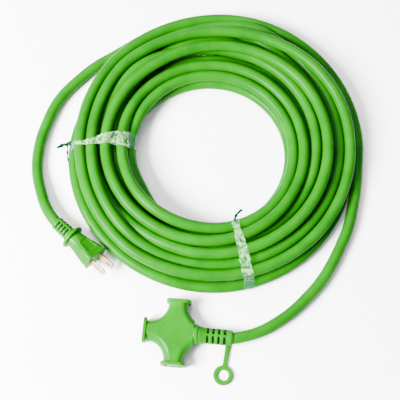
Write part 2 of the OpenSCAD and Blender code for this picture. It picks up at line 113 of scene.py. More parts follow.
def settle(r, z, live, rounds=480, settling=400):
    """Turns that sink and push each other aside until they lie beside and on each other."""
    turns = len(r)
    wanted = r.copy()
    hold = np.full((turns, 1), HOLD_HIDDEN)
    hold[:VISIBLE] = HOLD_SEEN
    hold[-LOW_TURNS:] = HOLD_LOW
    last = int(live.sum()) - 1
    for n in range(rounds):
        dr = r[:, None] - r[None]
        dz = z[:, None] - z[None]
        apart = np.sqrt(dr * dr + dz * dz) + 1e-9
        push = np.clip(SPACING - apart, 0, None) * (live[:, None] & live[None]) * PUSH
        push[np.arange(turns), np.arange(turns)] = 0
        r = r + (push * dr / apart).sum(1)
        z = z + (push * dz / apart).sum(1)
        if n < settling:
            z = z - SINK
            r = r + hold * (wanted - r)
        stiff = STIFF_SETTLING if n < settling else STIFF_AT_REST
        flat_r, flat_z = r.ravel(), np.maximum(z, LOWEST).ravel()
        for line in (flat_r, flat_z):
            line[1:last] += stiff * ((line[:last - 1] + line[2:last + 1]) / 2 - line[1:last])
        flat_r[[0, last]] = wanted.ravel()[[0, last]]
        flat_z[[0, last]] = LOWEST
        r = flat_r.reshape(turns, STEPS)
        z = np.maximum(flat_z, LOWEST).reshape(turns, STEPS)
    return r, z


def settled_turns():
    """Radius and height along the turns, and which places are part of the cord."""
    keys = np.array([radius for turn in TURNS for radius in turn]) * MM
    turns = len(TURNS)
    x = np.arange(turns * STEPS) / STEPS * KEYS
    live = (x <= len(keys) - 1).reshape(turns, STEPS)
    r = eased(keys, np.minimum(x, len(keys) - 1)).reshape(turns, STEPS)
    r, z = settle(r, resting_height(r, live), live)
    return r, z, live


# Free stretches of the cord, in millimetres
TAP_ROUTE = [(30, 0, 9.8), (40, 0, 9.8), (53.1, 0, 9.8), (64, 3, 9), (78, 9, 6.8), (93, 19, 5.8),
             (107, 31, 5.6), (121, 47, 5.6), (132, 62, 5.6), (142, 81, 5.6), (150, 101, 5.6),
             (156, 119, 5.6), (159, 137, 5.7), (161.5, 160, 5.8)]
PLUG_ROUTE = [(-96, 279, 5.6), (-108, 270, 5.6), (-126, 251, 5.6), (-143, 227, 5.6),
              (-152, 200, 5.6), (-156, 173, 5.6), (-154, 148, 6.2), (-147, 127, 8.5),
              (-138, 109, 11), (-126, 95, 12.8), (-118, 89, 12.8), (-105.2, 79.4, 12.8)]


# --- Materials ----------------------------------------------------------------------------------
def new_material(name, rough, **sockets):
    """Material with a Principled shader; sockets are numbers set on the shader itself."""
    m = bpy.data.materials.new(name)
    m.use_nodes = True
    shader = m.node_tree.nodes["Principled BSDF"]
    shader.inputs["Roughness"].default_value = rough
    for socket, value in sockets.items():
        shader.inputs[socket.replace("_", " ")].default_value = value
    return m, m.node_tree.nodes, m.node_tree.links, shader


def noise(m, scale, detail=2.0, stretch=(1, 1, 1)):
    """Noise fixed to the piece; scale is in cells per metre."""
    nodes, links = m.node_tree.nodes, m.node_tree.links
    coords = nodes.new("ShaderNodeTexCoord")
    mapping = nodes.new("ShaderNodeMapping")
    mapping.inputs["Scale"].default_value = stretch
    texture = nodes.new("ShaderNodeTexNoise")
    texture.inputs["Scale"].default_value = scale
    texture.inputs["Detail"].default_value = detail
    links.new(coords.outputs["Object"], mapping.inputs["Vector"])
    links.new(mapping.outputs["Vector"], texture.inputs["Vector"])
    return texture.outputs["Fac"]


def ramp(m, factor, stops):
    """Colour ramp over factor; stops are (place, colour)."""
    node = m.node_tree.nodes.new("ShaderNodeValToRGB")
    m.node_tree.links.new(factor, node.inputs["Fac"])
    elements = node.color_ramp.elements
    while len(elements) < len(stops):
        elements.new(0.5)
    for element, (place, colour) in zip(elements, stops):
        element.position = place
        element.color = (*colour, 1)
    return node.outputs["Color"]


def spread(m, factor, low, high):
    """Number that runs from low to high with factor, for a roughness or an opacity."""
    node = m.node_tree.nodes.new("ShaderNodeMapRange")
    node.inputs["From Min"].default_value = 0.3
    node.inputs["From Max"].default_value = 0.7
    node.inputs["To Min"].default_value = low
    node.inputs["To Max"].default_value = high
    m.node_tree.links.new(factor, node.inputs["Value"])
    return node.outputs["Result"]


def bump(m, height, strength, distance, under=None):
    """Relief from height, on top of the normal under it."""
    node = m.node_tree.nodes.new("ShaderNodeBump")
    node.inputs["Strength"].default_value = strength
    node.inputs["Distance"].default_value = distance
    m.node_tree.links.new(height, node.inputs["Height"])
    if under:
        m.node_tree.links.new(under, node.inputs["Normal"])
    return node.outputs["Normal"]


def moulded(name, dark, light, rough, grain, grain_depth, **sockets):
    """Plastic or rubber: two close shades in soft patches, grain, and a sheen that varies."""
    m, _, links, shader = new_material(name, rough, **sockets)
    patches = noise(m, 45, 3)
    fine = noise(m, grain, 4)
    soft = bump(m, patches, 0.2, 0.0004)
    sheen = noise(m, 160, 3)
    links.new(ramp(m, patches, [(0.35, dark), (0.65, light)]), shader.inputs["Base Color"])
    links.new(spread(m, sheen, rough - 0.06, rough + 0.08), shader.inputs["Roughness"])
    links.new(bump(m, fine, 0.35, grain_depth, soft), shader.inputs["Normal"])
    return m


def darken_pockets(m, dark):
    """Painted shade: darker colour at the bottom of slots, where the mesh's pocket value is 1."""
    nodes, links = m.node_tree.nodes, m.node_tree.links
    socket = nodes["Principled BSDF"].inputs["Base Color"]
    pocket = nodes.new("ShaderNodeAttribute")
    pocket.attribute_name = "pocket"
    mix = nodes.new("ShaderNodeMix")
    mix.data_type = "RGBA"
    mix.inputs["B"].default_value = (*dark, 1)
    links.new(pocket.outputs["Fac"], mix.inputs["Factor"])
    links.new(socket.links[0].from_socket, mix.inputs["A"])
    links.new(mix.outputs["Result"], socket)


def metal(name, dark, light, rough, stretch=(1, 1, 1), **sockets):
    """Rolled or drawn metal: faint tarnish in patches and fine lines along its length."""
    m, _, links, shader = new_material(name, rough, Metallic=1.0, **sockets)
    tarnish = noise(m, 220, 4)
    links.new(ramp(m, tarnish, [(0.35, dark), (0.65, light)]), shader.inputs["Base Color"])
    lines = noise(m, 2600, 3, stretch)
    links.new(spread(m, lines, rough - 0.08, rough + 0.12), shader.inputs["Roughness"])
    links.new(bump(m, lines, 0.25, 0.00004), shader.inputs["Normal"])
    return m


# Painted light: between these heights a tie turns from clear to paler and more opaque, as on the
# coil's lit top
CLEAR_BELOW, MILKY_LIT_ABOVE = 0.0215, 0.0265       # heights on the coil where a tie changes


def clear_film(name, clear, milky_lit, clear_cover, milky_cover):
    """Thin crumpled film: clear green-blue low on the coil; milky streaks where it crosses the top,
    where painted light also makes it paler and more opaque.
    """
    m, nodes, links, shader = new_material(name, 0.22, Specular_IOR_Level=0.6, Coat_Weight=0.3,
                                           Coat_Roughness=0.15)
    coords = nodes.new("ShaderNodeTexCoord")
    split = nodes.new("ShaderNodeSeparateXYZ")
    links.new(coords.outputs["Object"], split.inputs["Vector"])
    # Painted light: 0 low on the coil, 1 on its lit top
    on_top = nodes.new("ShaderNodeMapRange")
    on_top.interpolation_type = "SMOOTHSTEP"
    on_top.inputs["From Min"].default_value = CLEAR_BELOW
    on_top.inputs["From Max"].default_value = MILKY_LIT_ABOVE
    links.new(split.outputs["Z"], on_top.inputs["Value"])
    streaks = spread(m, noise(m, 300, 5), -0.55, 1.35)
    # The film's own milky streaks, shown only on the lit top, where painted light makes the film
    # paler
    lit_streaks = nodes.new("ShaderNodeMath")
    lit_streaks.operation = "MULTIPLY"
    lit_streaks.use_clamp = True
    links.new(on_top.outputs["Result"], lit_streaks.inputs[0])
    links.new(streaks, lit_streaks.inputs[1])
    tint = ramp(m, lit_streaks.outputs["Value"], [(0.0, clear), (0.8, milky_lit)])
    links.new(tint, shader.inputs["Base Color"])
    cover = nodes.new("ShaderNodeMapRange")
    cover.inputs["To Min"].default_value = clear_cover
    cover.inputs["To Max"].default_value = milky_cover
    links.new(lit_streaks.outputs["Value"], cover.inputs["Value"])
    links.new(cover.outputs["Result"], shader.inputs["Alpha"])
    links.new(bump(m, noise(m, 620, 5), 0.8, 0.0006), shader.inputs["Normal"])
    return m


GREEN_DARK, GREEN_LIGHT = (0.003, 0.074, 0.0), (0.0055, 0.098, 0.0)      # of the mouldings
SLOT_SHADE = (0.0006, 0.012, 0.0)
DULL = 0.02                     # specular level that keeps white lines off the rims
SHEATH = moulded("cord_sheath", (0.0021, 0.064, 0.0), (0.0042, 0.087, 0.0), 0.42, 1700, 0.00006,
                 Specular_IOR_Level=DULL, Coat_Weight=0.06, Coat_Roughness=0.3)
SOFT = moulded("soft_moulding", GREEN_DARK, GREEN_LIGHT, 0.36, 2600, 0.00005,
               Specular_IOR_Level=DULL, Coat_Weight=0.10, Coat_Roughness=0.25)
RELIEF = moulded("relief_moulding", GREEN_DARK, GREEN_LIGHT, 0.38, 2600, 0.00005,
                 Specular_IOR_Level=DULL, Coat_Weight=0.08, Coat_Roughness=0.28)
# Painted shade in the slots of both strain reliefs
darken_pockets(RELIEF, SLOT_SHADE)
INSERT = moulded("outlet_insert", (0.002, 0.045, 0.0001), (0.003, 0.058, 0.0002), 0.3, 3000,
                 0.00003, Specular_IOR_Level=DULL, Coat_Weight=0.06, Coat_Roughness=0.25)
IVORY = moulded("hard_insulator", (0.55, 0.50, 0.38), (0.66, 0.62, 0.50), 0.3, 2400, 0.00003)
BLACK = moulded("black_insulation", (0.006, 0.006, 0.006), (0.014, 0.014, 0.014), 0.4, 2000,
                0.00004)
WHITE = moulded("white_insulation", (0.55, 0.55, 0.53), (0.68, 0.68, 0.66), 0.4, 2000, 0.00004)
BRASS = metal("busbar_brass", (0.50, 0.33, 0.09), (0.68, 0.48, 0.16), 0.32, (0.05, 1, 1))
RIVET = metal("rivet_brass", (0.50, 0.32, 0.09), (0.66, 0.46, 0.15), 0.26, (1, 1, 0.05))
BRONZE = metal("contact_bronze", (0.52, 0.33, 0.14), (0.70, 0.48, 0.24), 0.3, (0.05, 1, 1))
BLADE = metal("blade_brass", (0.27, 0.19, 0.085), (0.40, 0.29, 0.145), 0.34, (1, 0.3, 1))
COPPER = metal("copper_strand", (0.42, 0.15, 0.06), (0.62, 0.27, 0.13), 0.34, (0.05, 1, 1))
# Second colour and second opacity: the film's milky streaks with painted light on the coil's top
FILM = clear_film("tie_film", (0.008, 0.11, 0.05), (0.26, 0.58, 0.17), 0.2, 0.36)
TWIST = moulded("tie_twist", (0.0006, 0.010, 0.004), (0.0025, 0.032, 0.014), 0.4, 1500, 0.0001,
                Specular_IOR_Level=DULL)


# --- Mesh helpers: rings and outlines are given in millimetres ----------------------------------
def new_object(name, data, material):
    o = bpy.data.objects.new(name, data)
    bpy.context.scene.collection.objects.link(o)
    data.materials.append(material)
    return o


def mesh_piece(name, verts, faces, material):
    """Smooth-shaded piece from vertices in metres, its faces turned outwards."""
    mesh = bpy.data.meshes.new(name)
    mesh.from_pydata([tuple(v) for v in verts], [], faces)
    bm = bmesh.new()
    bm.from_mesh(mesh)
    bmesh.ops.recalc_face_normals(bm, faces=bm.faces)
    bm.to_mesh(mesh)
    bm.free()
    mesh.shade_smooth()
    return new_object(name, mesh, material)


def loft(name, rings, material, closed=False):
    """Piece through rings of equal length; closed joins the last ring to the first."""
    n = len(rings[0])
    count = len(rings)
    verts = [[c * MM for c in p] for ring in rings for p in ring]
    faces = []
    for i in range(count if closed else count - 1):
        near, far = i * n, (i + 1) % count * n
        faces += [(near + j, far + j, far + (j + 1) % n, near + (j + 1) % n) for j in range(n)]
    if not closed:
        faces += [tuple(range(n)), tuple((count - 1) * n + j for j in range(n))]
    return mesh_piece(name, verts, faces, material)


def turned(name, outline, material, sides=96, closed=False):
    """Piece turned about the X axis; outline is a row of (x, radius)."""
    angles = [2 * math.pi * k / sides for k in range(sides)]
    rings = [[(x, r * math.cos(t), r * math.sin(t)) for t in angles] for x, r in outline]
    return loft(name, rings, material, closed)


def rounded_ring(x, w, h, r, corner=8):
    """Rounded rectangle across the X axis at x."""
    ring = []
    for sy, sz, start in ((1, 1, 0), (-1, 1, 90), (-1, -1, 180), (1, -1, 270)):
        for k in range(corner + 1):
            a = math.radians(start + 90 * k / corner)
            ring.append((x, sy * (w / 2 - r) + r * math.cos(a), sz * (h / 2 - r) + r * math.sin(a)))
    return ring


def place(o, matrix):
    """Moves the vertices, so the object itself stays at the origin."""
    o.data.transform(matrix)
    return o


def lift(o, turn=0.0):
    """Turns a piece about Z and puts its X axis on the tap's axis."""
    turned_z = Matrix.Rotation(math.radians(turn), 4, "Z")
    return place(o, Matrix.Translation((0, 0, AXIS_Z)) @ turned_z)


def shift(o, y):
    """Moves a piece sideways, in millimetres."""
    return place(o, Matrix.Translation((0, y * MM, 0)))


def rod(name, x0, x1, r):
    """Round bar along the X axis, to cut a hole with."""
    return turned(name, [(x0, r), (x1, r)], SOFT)


def block(name, x0, x1, w, h, r=0.2):
    """Square bar along the X axis, to cut a pocket with."""
    return loft(name, [rounded_ring(x, w, h, r, 2) for x in (x0, x1)], SOFT)


def keep_modified(o):
    """Makes what the modifiers show the piece's own mesh."""
    seen = o.evaluated_get(bpy.context.evaluated_depsgraph_get())
    mesh = bpy.data.meshes.new_from_object(seen)
    o.modifiers.clear()
    o.data = mesh
    return o


def combine(o, others, operation):
    """Adds other pieces to o, or cuts them out of it."""
    for other in others:
        step = o.modifiers.new("combine", "BOOLEAN")
        step.operation = operation
        step.solver = "EXACT"
        step.object = other
        keep_modified(o)
        bpy.data.objects.remove(other)
    return o


def soften(o, voxel, rounds):
    """Rounds the edges of a moulding, in millimetres per cell and rounds of smoothing."""
    cells = o.modifiers.new("cells", "REMESH")
    cells.mode = "VOXEL"
    cells.voxel_size = voxel * MM
    cells.use_smooth_shade = True
    smooth = o.modifiers.new("smooth", "SMOOTH")
    smooth.factor = 0.5
    smooth.iterations = rounds
    return keep_modified(o)


def plate(name, outline, holes, thickness, edge, material):
    """Flat bevelled plate in the XY plane, its middle at z = 0, from an outline and holes."""
    data = bpy.data.curves.new(name, "CURVE")
    data.dimensions = "2D"
    data.fill_mode = "BOTH"
    data.extrude = (thickness / 2 - edge) * MM
    data.bevel_depth = edge * MM
    data.bevel_resolution = 2
    data.offset = -edge * MM
    for line in [outline] + holes:
        spline = data.splines.new("POLY")
        spline.points.add(len(line) - 1)
        for point, (x, y) in zip(spline.points, line):
            point.co = (x * MM, y * MM, 0, 1)
        spline.use_cyclic_u = True
    shape = bpy.data.objects.new(name, data)
    bpy.context.scene.collection.objects.link(shape)
    seen = shape.evaluated_get(bpy.context.evaluated_depsgraph_get())
    mesh = bpy.data.meshes.new_from_object(seen)
    bpy.data.objects.remove(shape)
    bm = bmesh.new()
    bm.from_mesh(mesh)
    bmesh.ops.remove_doubles(bm, verts=bm.verts, dist=1e-6)
    bmesh.ops.recalc_face_normals(bm, faces=bm.faces)
    bm.to_mesh(mesh)
    bm.free()
    return new_object(name, mesh, material)


def box_outline(x0, x1, y0, y1, r=0.0, corner=5):
    """Rounded rectangle as (x, y) points."""
    line = []
    for x, y, start in ((x1 - r, y1 - r, 0), (x0 + r, y1 - r, 90),
                        (x0 + r, y0 + r, 180), (x1 - r, y0 + r, 270)):
        for k in range(corner + 1 if r else 1):
            a = math.radians(start + 90 * k / corner)
            line.append((x + r * math.cos(a), y + r * math.sin(a)))
    return line


def round_outline(x, y, r, start=0, end=360, steps=40):
    """Circle or arc as (x, y) points."""
    line = []
    for k in range(steps if end - start == 360 else steps + 1):
        a = math.radians(start + (end - start) * k / steps)
        line.append((x + r * math.cos(a), y + r * math.sin(a)))
    return line


def finished(o, slot, body, *nodes):
    """Puts a piece on its body, in place of CAD nodes if any are named."""
    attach(o, body)
    if nodes:
        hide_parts(*nodes)
    return o


# --- Tap body: four arched arms, three outlet flanges and the disc on the cord's side -----------
# Sizes in millimetres, here and in the sections on the reliefs, the ring and the plug
ARM_W, CROWN_W = 18.8, 4.0
ARM_FILLET, CROWN_FILLET = 17.4, 25.3
TAP_REACH = -TAP_BOX[0][0] / MM
FLANGE_W, FLANGE_R, FLANGE_T = 23.4, 6.5, 3.1
FLANGE_H = (TAP_BOX[1][2] - TAP_BOX[0][2]) / MM
BODY_MID = 9.4
DISC_X, DISC_T, DISC_D = 16.5, 4.0, 19.4
CORE_WALL, CORE_REACH, CORE_HALF_H, CORE_X = 1.0, 27.5, 6.2, 14.5
FACE_W, FACE_H, FACE_R, FACE_RECESS = 17.4, 11.6, 4.8, 0.4
MOUTH_R = 5.0
SLOT_W, SLOT_H = 2.0, 7.0
LEAD_Y, WIRE_D = 2.2, 3.4
LEAD_HOLE_R = WIRE_D / 2 + GAP_MM
SHEATH_X = 19.0                 # where the cord's sheath ends inside the tap
OUTLET_TURNS = {"left": 180, "back": 90, "front": -90}      # directions of the outlets


def cross_ring(half, fillet, reach, z, cut):
    """Outline of four arms with concave corners at one height; x ends at cut."""
    quarter = [(reach, half)]
    for k in range(25):
        a = math.radians(270 - 90 * k / 24)
        quarter.append((half + fillet + fillet * math.cos(a), half + fillet + fillet * math.sin(a)))
    quarter.append((half, reach))
    ring = []
    for c, s in ((1, 0), (0, 1), (-1, 0), (0, -1)):
        ring += [(min(x * c - y * s, cut), x * s + y * c, z) for x, y in quarter]
    return ring


def cross_body(name, inset, reach, half_h, cut):
    """Arched cross, or a smaller one inside it if there is an inset."""
    top = math.degrees(math.asin(half_h / BODY_MID))
    rings = []
    for k in range(-14, 15):
        a = math.radians(top * k / 14)
        side = CROWN_W / 2 + (ARM_W - CROWN_W) / 2 * math.cos(a)
        fillet = CROWN_FILLET + (ARM_FILLET - CROWN_FILLET) * math.cos(a)
        z = BODY_MID + BODY_MID * math.sin(a)
        rings.append(cross_ring(side - inset, fillet + inset, reach, z, cut))
    return loft(name, rings, SOFT)


tap = cross_body("tap_shell", 0, TAP_REACH - FLANGE_T + 1, BODY_MID, DISC_X)
flanges = [lift(loft("flange", [rounded_ring(x, FLANGE_W, FLANGE_H, FLANGE_R)
                                for x in (TAP_REACH - FLANGE_T, TAP_REACH)], SOFT), turn)
           for turn in OUTLET_TURNS.values()]
disc = lift(turned("disc", [(DISC_X - 1, 8), (DISC_X, 8.4), (DISC_X, DISC_D / 2 - 0.5),
                            (DISC_X + 0.6, DISC_D / 2), (DISC_X + DISC_T - 0.6, DISC_D / 2),
                            (DISC_X + DISC_T, DISC_D / 2 - 0.5)], SOFT))
combine(tap, flanges + [disc], "UNION")
mouths = [lift(loft("mouth", [rounded_ring(x, FACE_W + 2 * GAP_MM, FACE_H + 2 * GAP_MM, MOUTH_R)
                              for x in (CORE_REACH, TAP_REACH + 1)], SOFT), turn)
          for turn in OUTLET_TURNS.values()]
leads = [shift(lift(rod("lead", CORE_X, SHEATH_X + 1, LEAD_HOLE_R)), s * LEAD_Y) for s in (-1, 1)]
sheath_hole = lift(rod("sheath_hole", SHEATH_X, SHEATH_X + 3, BORE_D_MM / 2))
core_space = cross_body("core_space", CORE_WALL - GAP_MM, CORE_REACH + GAP_MM, CORE_HALF_H + GAP_MM,
                        CORE_X + GAP_MM)
combine(tap, [core_space] + mouths + leads + [sheath_hole], "DIFFERENCE")
soften(tap, 0.34, 5)
finished(tap, "soft_moulding", "cord_set", "tap_body")

for side, turn in OUTLET_TURNS.items():
    slots = [box_outline(y - SLOT_W / 2, y + SLOT_W / 2, -SLOT_H / 2, SLOT_H / 2, 0.3, 3)
             for y in (-PITCH_MM / 2, PITCH_MM / 2)]
    depth = TAP_REACH - CORE_REACH - FACE_RECESS
    face = plate("outlet_insert_" + side,
                 box_outline(-FACE_W / 2, FACE_W / 2, -FACE_H / 2, FACE_H / 2, FACE_R, 10),
                 slots, depth, 0.25, INSERT)
    upright = Matrix.Translation(((CORE_REACH + depth / 2) * MM, 0, 0)) \
        @ Matrix.Rotation(math.pi / 2, 4, "Z") @ Matrix.Rotation(math.pi / 2, 4, "X")
    lift(place(face, upright), turn)
    finished(face, "outlet_insert", "cord_set", "outlet_face_" + side)


# --- Strain reliefs -----------------------------------------------------------------------------
WEB_W = 2.6                     # web between two rows of slots
SLOT_FLOOR_R = 5.75
TAP_SLOTS = [29.8 + 5.3 * k for k in range(4)]      # middle of each slot along the sleeve
TAP_SLOT_W = 2.1
PLUG_SLOTS = [4.6 + 3.75 * k for k in range(4)]
PLUG_SLOT_W = 1.8


def ladder(name, outline, slots, slot_w):
    """Tube along +X with rows of slots between four webs. outline is a row of (x, radius)."""
    xs, rs = zip(*outline)
    cuts = dict.fromkeys(xs, 0.0)
    for slot in slots:
        for sign in (-1, 1):
            for out, share in ((0.3, 0.0), (0.12, 0.06), (0.0, 0.35), (-0.1, 1.0)):
                cuts[slot + sign * (slot_w / 2 + out)] = share
        cuts[slot] = 1.0
    places = sorted(cuts)
    rows = {}
    half = math.degrees(math.asin(WEB_W / max(rs) / 2))
    for quarter in range(4):
        for a, share in ((0, 0), (half - 2, 0), (half - 0.6, 0.1), (half + 0.6, 1)):
            for sign in (-1, 1):
                rows[(90 * quarter + sign * a) % 360] = share
        for a in range(18, 76, 6):
            rows[90 * quarter + a] = 1
    angles = sorted(rows)

    def ring(x, reaches):
        return [(x, reach * math.cos(math.radians(t)), reach * math.sin(math.radians(t)))
                for t, reach in zip(angles, reaches)]

    bore = [BORE_D_MM / 2] * len(angles)
    rings = [ring(xs[0], bore)]
    for x in places:
        r = float(np.interp(x, xs, rs))
        rings.append(ring(x, [r - (r - SLOT_FLOOR_R) * cuts[x] * rows[t] for t in angles]))
    rings.append(ring(xs[-1], bore))
    o = loft(name, rings, RELIEF, closed=True)
    smooth = [0.0] * len(angles)
    # Share of each slot's depth, kept as the pocket value that paints shade into the slots
    depth = smooth + [cuts[x] * rows[t] for x in places for t in angles] + smooth
    o.data.attributes.new("pocket", "FLOAT", "POINT").data.foreach_set("value", depth)
    return o


RELIEF_X = DISC_X + DISC_T
tap_relief = lift(ladder("tap_relief_sleeve",
                         [(RELIEF_X, 8.5), (RELIEF_X + 0.3, 8.8), (RELIEF_X + 2, 8.3), (26, 7.6),
                          (28, 7.4), (46.9, 7.4), (47.3, 7.1), (47.31, 6.3), (52.4, 6.3),
                          (52.41, 6.6), (52.6, 6.8), (52.9, 6.8), (CORD_EXIT[0] / MM, 6.55)],
                         TAP_SLOTS, TAP_SLOT_W))
finished(tap_relief, "relief_moulding", "cord_set", "tap_strain_relief")


# --- Hanging ring -------------------------------------------------------------------------------
RING_X, RING_REACH, RING_LOW, RING_T = 47.4, 34.0, 0.2, 2.8
RING_R, RING_HOLE_R, RING_EDGE = 9.4, 4.9, 1.15
RING_MID_R = (RING_R + RING_HOLE_R) / 2
COLLAR_X, COLLAR_W, COLLAR_R, COLLAR_BORE_R, COLLAR_EDGE = 47.4, 4.9, 7.4, 6.35, 0.35
COLLAR_END, COLLAR_MID = COLLAR_X + COLLAR_W, COLLAR_X + COLLAR_W / 2
STRAP_W, STRAP_EDGE = 4.4, 0.9
# Distance of a place on the strap from the collar's axis, and its width as a share of STRAP_W
STRAP_PLACES = [(1.5, 1.08), (8, 1.08), (9.5, 1), (22, 1), (RING_REACH - RING_MID_R, 1.15)]


def ring_section(steps=16):
    """Flat band with full round edges, as (radius, height)."""
    half_w = (RING_R - RING_HOLE_R) / 2 - RING_EDGE
    half_h = RING_T / 2 - RING_EDGE
    line = []
    for k in range(steps):
        a = 2 * math.pi * (k + 0.5) / steps
        out, up = math.cos(a), math.sin(a)
        line.append((RING_MID_R + math.copysign(half_w, out) + RING_EDGE * out,
                     RING_T / 2 + math.copysign(half_h, up) + RING_EDGE * up))
    return line


collar = lift(turned("ring_and_strap",
                     [(COLLAR_X, COLLAR_BORE_R), (COLLAR_X, COLLAR_R - COLLAR_EDGE),
                      (COLLAR_X + COLLAR_EDGE, COLLAR_R), (COLLAR_END - COLLAR_EDGE, COLLAR_R),
                      (COLLAR_END, COLLAR_R - COLLAR_EDGE), (COLLAR_END, COLLAR_BORE_R)],
                     SOFT, closed=True))
section = ring_section()
eye_ring = loft("eye_ring", [[(RING_X + r * math.cos(t), r * math.sin(t) - RING_REACH,
                               RING_LOW + z) for r, z in section]
                             for t in np.arange(96) * 2 * math.pi / 96], SOFT, closed=True)
strap_rings = []
for along, wide in STRAP_PLACES:
    x = COLLAR_MID + (RING_X - COLLAR_MID) * along / RING_REACH
    strap_rings.append([(x + across * wide, -along, RING_LOW + RING_T / 2 + up)
                        for _, across, up in rounded_ring(0, STRAP_W, RING_T, STRAP_EDGE, 4)])
strap = loft("strap", strap_rings, SOFT)
combine(collar, [strap, eye_ring], "UNION")
bore = lift(rod("bore", COLLAR_X - 1, COLLAR_END + 1, COLLAR_BORE_R))
combine(collar, [bore], "DIFFERENCE")
soften(collar, 0.2, 2)
finished(collar, "ring_moulding", "hanging_ring", "hanging_ring")


# --- Plug ---------------------------------------------------------------------------------------
PLUG_SPOT = Vector((-0.110, 0.083, 0.0128))     # back of the plug, in metres
PLUG_TURN, PLUG_ROLL = math.radians(-36.87), math.radians(-33)
PLUG_PLACE = Matrix.Translation(PLUG_SPOT) \
    @ Matrix.Rotation(PLUG_TURN, 4, "Z") @ Matrix.Rotation(PLUG_ROLL, 4, "X")
PLUG_L = 33.0
BLADE_L, BLADE_W, BLADE_T, TIP_R = 17.3, 6.35, 1.5, 2.2
BLADE_ROOT_X = 16.4
BLADE_HOLE_X, BLADE_HOLE_R = PLUG_L + 11.4, 1.6
BARREL_X, BARREL_R, BARREL_BORE_R = 12.0, 1.6, 1.0
TAB_T, TAB_H = 0.6, 6.2
BRIDGE_X, BRIDGE_END, BRIDGE_W, BRIDGE_H = 19.0, 30.0, 18.0, 10.0
PLUG_SHEATH_X = 6.0             # where the cord's sheath ends inside the plug
# Distance along the axis and width of the recessed panels, and the heights between which they lie
PANEL = [(12.5, 8.4), (13.4, 9.4), (24.6, 11.6), (25.6, 10.8)]
PANEL_FLOOR, PANEL_TOP = 7.45, 9.0
# Distance along the axis, width, height and corner radius of the plug body
PLUG_SECTIONS = [(2, 17.6, 16.6, 8.2), (7, 17.6, 16.6, 7.8), (13, 18.6, 15.8, 6.2),
                 (20, 21, 15.8, 4.6), (27, 22.6, 16, 3.6), (30.6, 22.8, 16, 3.2),
                 (31.6, 24.4, 17, 3), (33, 24.4, 17, 3)]


def plug_rings(steps=5):
    """Rings at the sections and between them, so the waist swells smoothly."""
    rows = np.array(PLUG_SECTIONS)
    rings = []
    for i in range(len(rows) - 3):
        for k in range(steps):
            rings.append(eased(rows, np.array([i + k / steps]))[0])
    rings += list(rows[-3:])
    return [rounded_ring(*ring, corner=10) for ring in rings]


plug = loft("plug_shell", plug_rings(), SOFT)
flange = turned("plug_flange", [(0, 11.4), (0.7, 12.2), (2.3, 12.2), (3, 11.4)], SOFT)
combine(plug, [flange], "UNION")
panels = []
for side in (-1, 1):
    corners = ((-1, PANEL_FLOOR), (1, PANEL_FLOOR), (1, PANEL_TOP), (-1, PANEL_TOP))
    rings = [[(x, y * w / 2, side * z) for y, z in corners] for x, w in PANEL]
    panels.append(loft("panel", rings, SOFT))
cord_hole = rod("cord_hole", -1, PLUG_SHEATH_X + GAP_MM, BORE_D_MM / 2)
wire_holes = [shift(rod("wire_hole", PLUG_SHEATH_X, BARREL_X, LEAD_HOLE_R), s * LEAD_Y)
              for s in (-1, 1)]
barrel_space = block("barrel_space", BARREL_X - GAP_MM, BRIDGE_X + GAP_MM,
                     PITCH_MM + BLADE_T + 2 * GAP_MM, BLADE_W + 2 * GAP_MM)
bridge_space = block("bridge_space", BRIDGE_X - GAP_MM, BRIDGE_END + GAP_MM,
                     BRIDGE_W + 2 * GAP_MM, BRIDGE_H + 2 * GAP_MM)
blade_holes = [shift(block("blade_hole", BRIDGE_END - 1, PLUG_L + 2, BLADE_T + GAP_MM,
                           BLADE_W + GAP_MM, 0.1), s * PITCH_MM / 2) for s in (-1, 1)]
combine(plug, panels + [cord_hole] + wire_holes + [barrel_space, bridge_space] + blade_holes,
        "DIFFERENCE")
soften(plug, 0.27, 3)
finished(place(plug, PLUG_PLACE), "soft_moulding", "cord_set", "plug_body")

plug_relief = ladder("plug_relief_sleeve", [(0, 7.4), (19.3, 6.65), (19.8, 6.5), (20, 6.2)],
                     PLUG_SLOTS, PLUG_SLOT_W)
place(plug_relief, PLUG_PLACE @ Matrix.Rotation(math.pi, 4, "Z"))
finished(plug_relief, "relief_moulding", "cord_set", "plug_strain_relief")

for side, label in ((1, "a"), (-1, "b")):
    tip_x = PLUG_L + BLADE_L - TIP_R
    outline = [(BLADE_ROOT_X, BLADE_W / 2), (BLADE_ROOT_X, -BLADE_W / 2)] \
        + round_outline(tip_x, -BLADE_W / 2 + TIP_R, TIP_R, -90, 0, 8) \
        + round_outline(tip_x, BLADE_W / 2 - TIP_R, TIP_R, 0, 90, 8)
    hole = round_outline(BLADE_HOLE_X, 0, BLADE_HOLE_R)
    blade = plate("blade_strip_" + label, outline, [hole], BLADE_T, 0.3, BLADE)
    shift(place(blade, Matrix.Rotation(math.pi / 2, 4, "X")), side * PITCH_MM / 2)
    near, far = 0.6, PITCH_MM / 2 + BLADE_T / 2 - 0.2
    corners = [(near, -TAB_H / 2), (far, -TAB_H / 2), (far, TAB_H / 2), (near, TAB_H / 2)]
    tab = loft("tab", [[(x, side * y, z) for y, z in corners]
                       for x in (BLADE_ROOT_X + 0.01, BLADE_ROOT_X + TAB_T)], BLADE)
    barrel_end = BLADE_ROOT_X + 0.5
    barrel = turned("barrel", [(BARREL_X, BARREL_BORE_R), (BARREL_X, BARREL_R),
                               (barrel_end, BARREL_R), (barrel_end, BARREL_BORE_R)],
                    BLADE, 48, closed=True)
    combine(blade, [tab, shift(barrel, side * LEAD_Y)], "UNION")
    finished(place(blade, PLUG_PLACE), "blade_brass", "cord_set", "blade_" + label)


